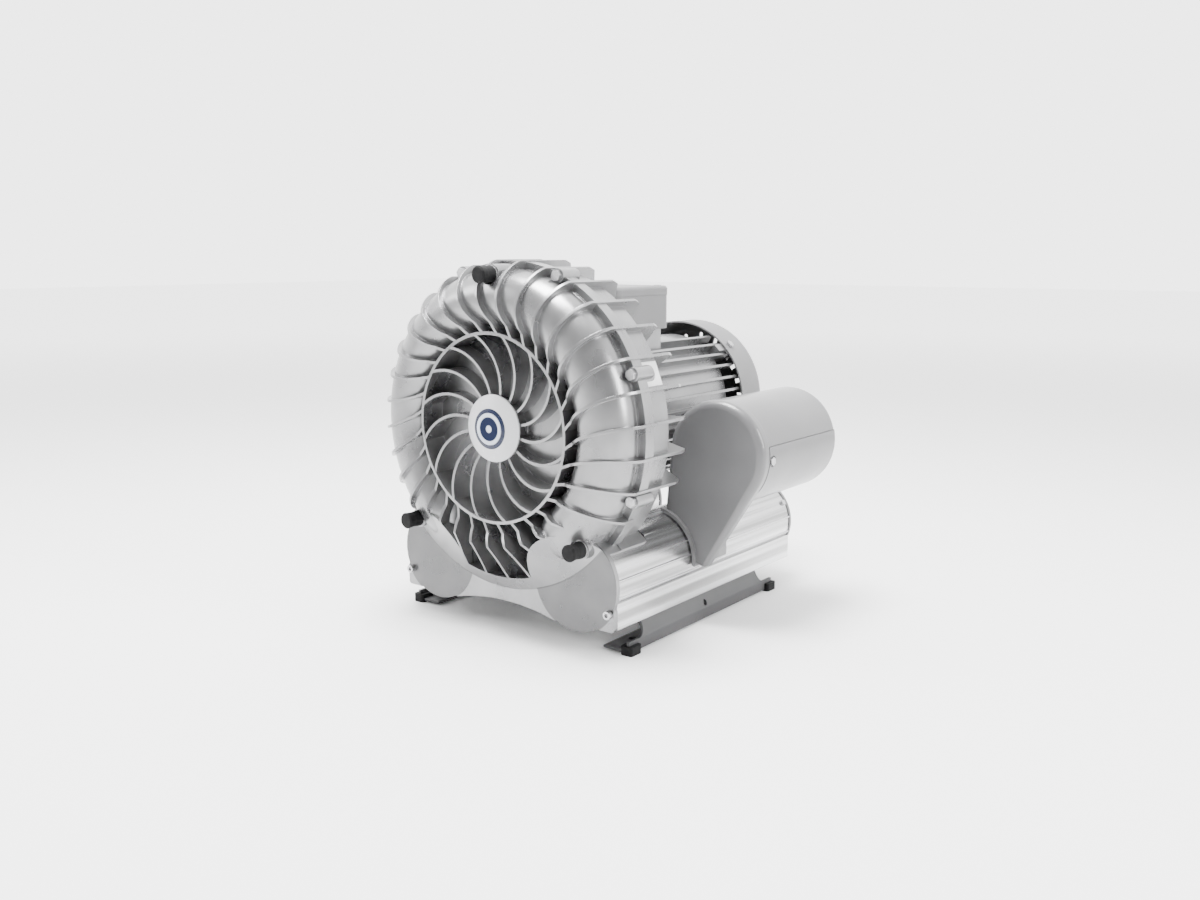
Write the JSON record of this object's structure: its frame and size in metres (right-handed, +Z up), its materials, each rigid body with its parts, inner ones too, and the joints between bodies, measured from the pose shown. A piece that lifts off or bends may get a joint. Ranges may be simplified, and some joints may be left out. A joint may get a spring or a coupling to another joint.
{
  "type": "side channel blower",
  "caption": "Side channel blower with spiral-finned cast cover, twin tubular silencers below, intake filter canister, finned fan-cooled motor, terminal box and folded foot brackets.",
  "frame": {"origin": "centre of the foot bolt pattern, on the underside of the foot brackets, which the rubber pads stand 2 mm below", "axes": "+Z up, +Y along the shaft from the front cover to the fan cowl, +X to the right as seen from the front"},
  "size_m": [0.3886, 0.41, 0.3801],
  "materials": {
    "cast_aluminium": "satin, cast, lightly blasted",
    "extruded_aluminium": "bright drawn, with lengthwise lines",
    "grey_paint": "satin",
    "cap_plastic": "satin",
    "badge_plastic": "gloss",
    "rubber": "matt",
    "steel": "zinc plated",
    "machine_steel": "ground",
    "laminations": "dark, laminated",
    "windings": "varnished copper wire",
    "black_plastic": "matt",
    "filter_paper": "pleated paper",
    "liner_foam": "open-cell absorber",
    "sheet_steel": "satin grey"
  },
  "bodies": {
    "casing": {"front_cover": "cast_aluminium", "blower_housing": "cast_aluminium", "cover_gasket": "rubber", "cover_bolts": "steel", "hub_cap": "cap_plastic", "cap_badge": "badge_plastic", "front_buffers": "rubber", "buffer_studs": "steel", "ear_bolts": "steel", "shaft_seal": "rubber", "front_bearing_outer": "machine_steel", "rear_bearing_outer": "machine_steel", "motor_frame": "cast_aluminium", "stator_core": "laminations", "stator_windings": "windings", "rear_end_shield": "cast_aluminium", "fan_cowl": "grey_paint", "cowl_screws": "steel", "terminal_box_base": "grey_paint", "terminal_box_lid": "grey_paint", "lid_screws": "steel", "terminal_board": "black_plastic", "cable_gland": "black_plastic", "silencer_tube_left": "extruded_aluminium", "silencer_tube_right": "extruded_aluminium", "silencer_liner_left": "liner_foam", "silencer_liner_right": "liner_foam", "foot_bracket_left": "sheet_steel", "foot_bracket_right": "sheet_steel", "silencer_end_cap": "grey_paint", "outlet_flange": "grey_paint", "silencer_end_screws": "steel", "filter_housing": "grey_paint", "filter_service_cover": "grey_paint", "intake_grille": "black_plastic", "filter_cartridge": "filter_paper", "service_screw": "steel", "foot_t_bolts": "steel", "foot_nuts": "steel", "foot_pads": "rubber"},
    "rotor": {"impeller": "cast_aluminium", "shaft": "machine_steel", "impeller_key": "machine_steel", "impeller_nut": "steel", "impeller_washer": "steel", "front_bearing_inner": "machine_steel", "rear_bearing_inner": "machine_steel", "rotor_core": "laminations", "cooling_fan": "black_plastic"}
  },
  "joints": [
    {"name": "shaft_spin", "type": "hinge", "parent": "casing", "child": "rotor", "pos_m": [0, 0, 0.212], "axis": [0, 1, 0], "continuous": true}
  ]
}
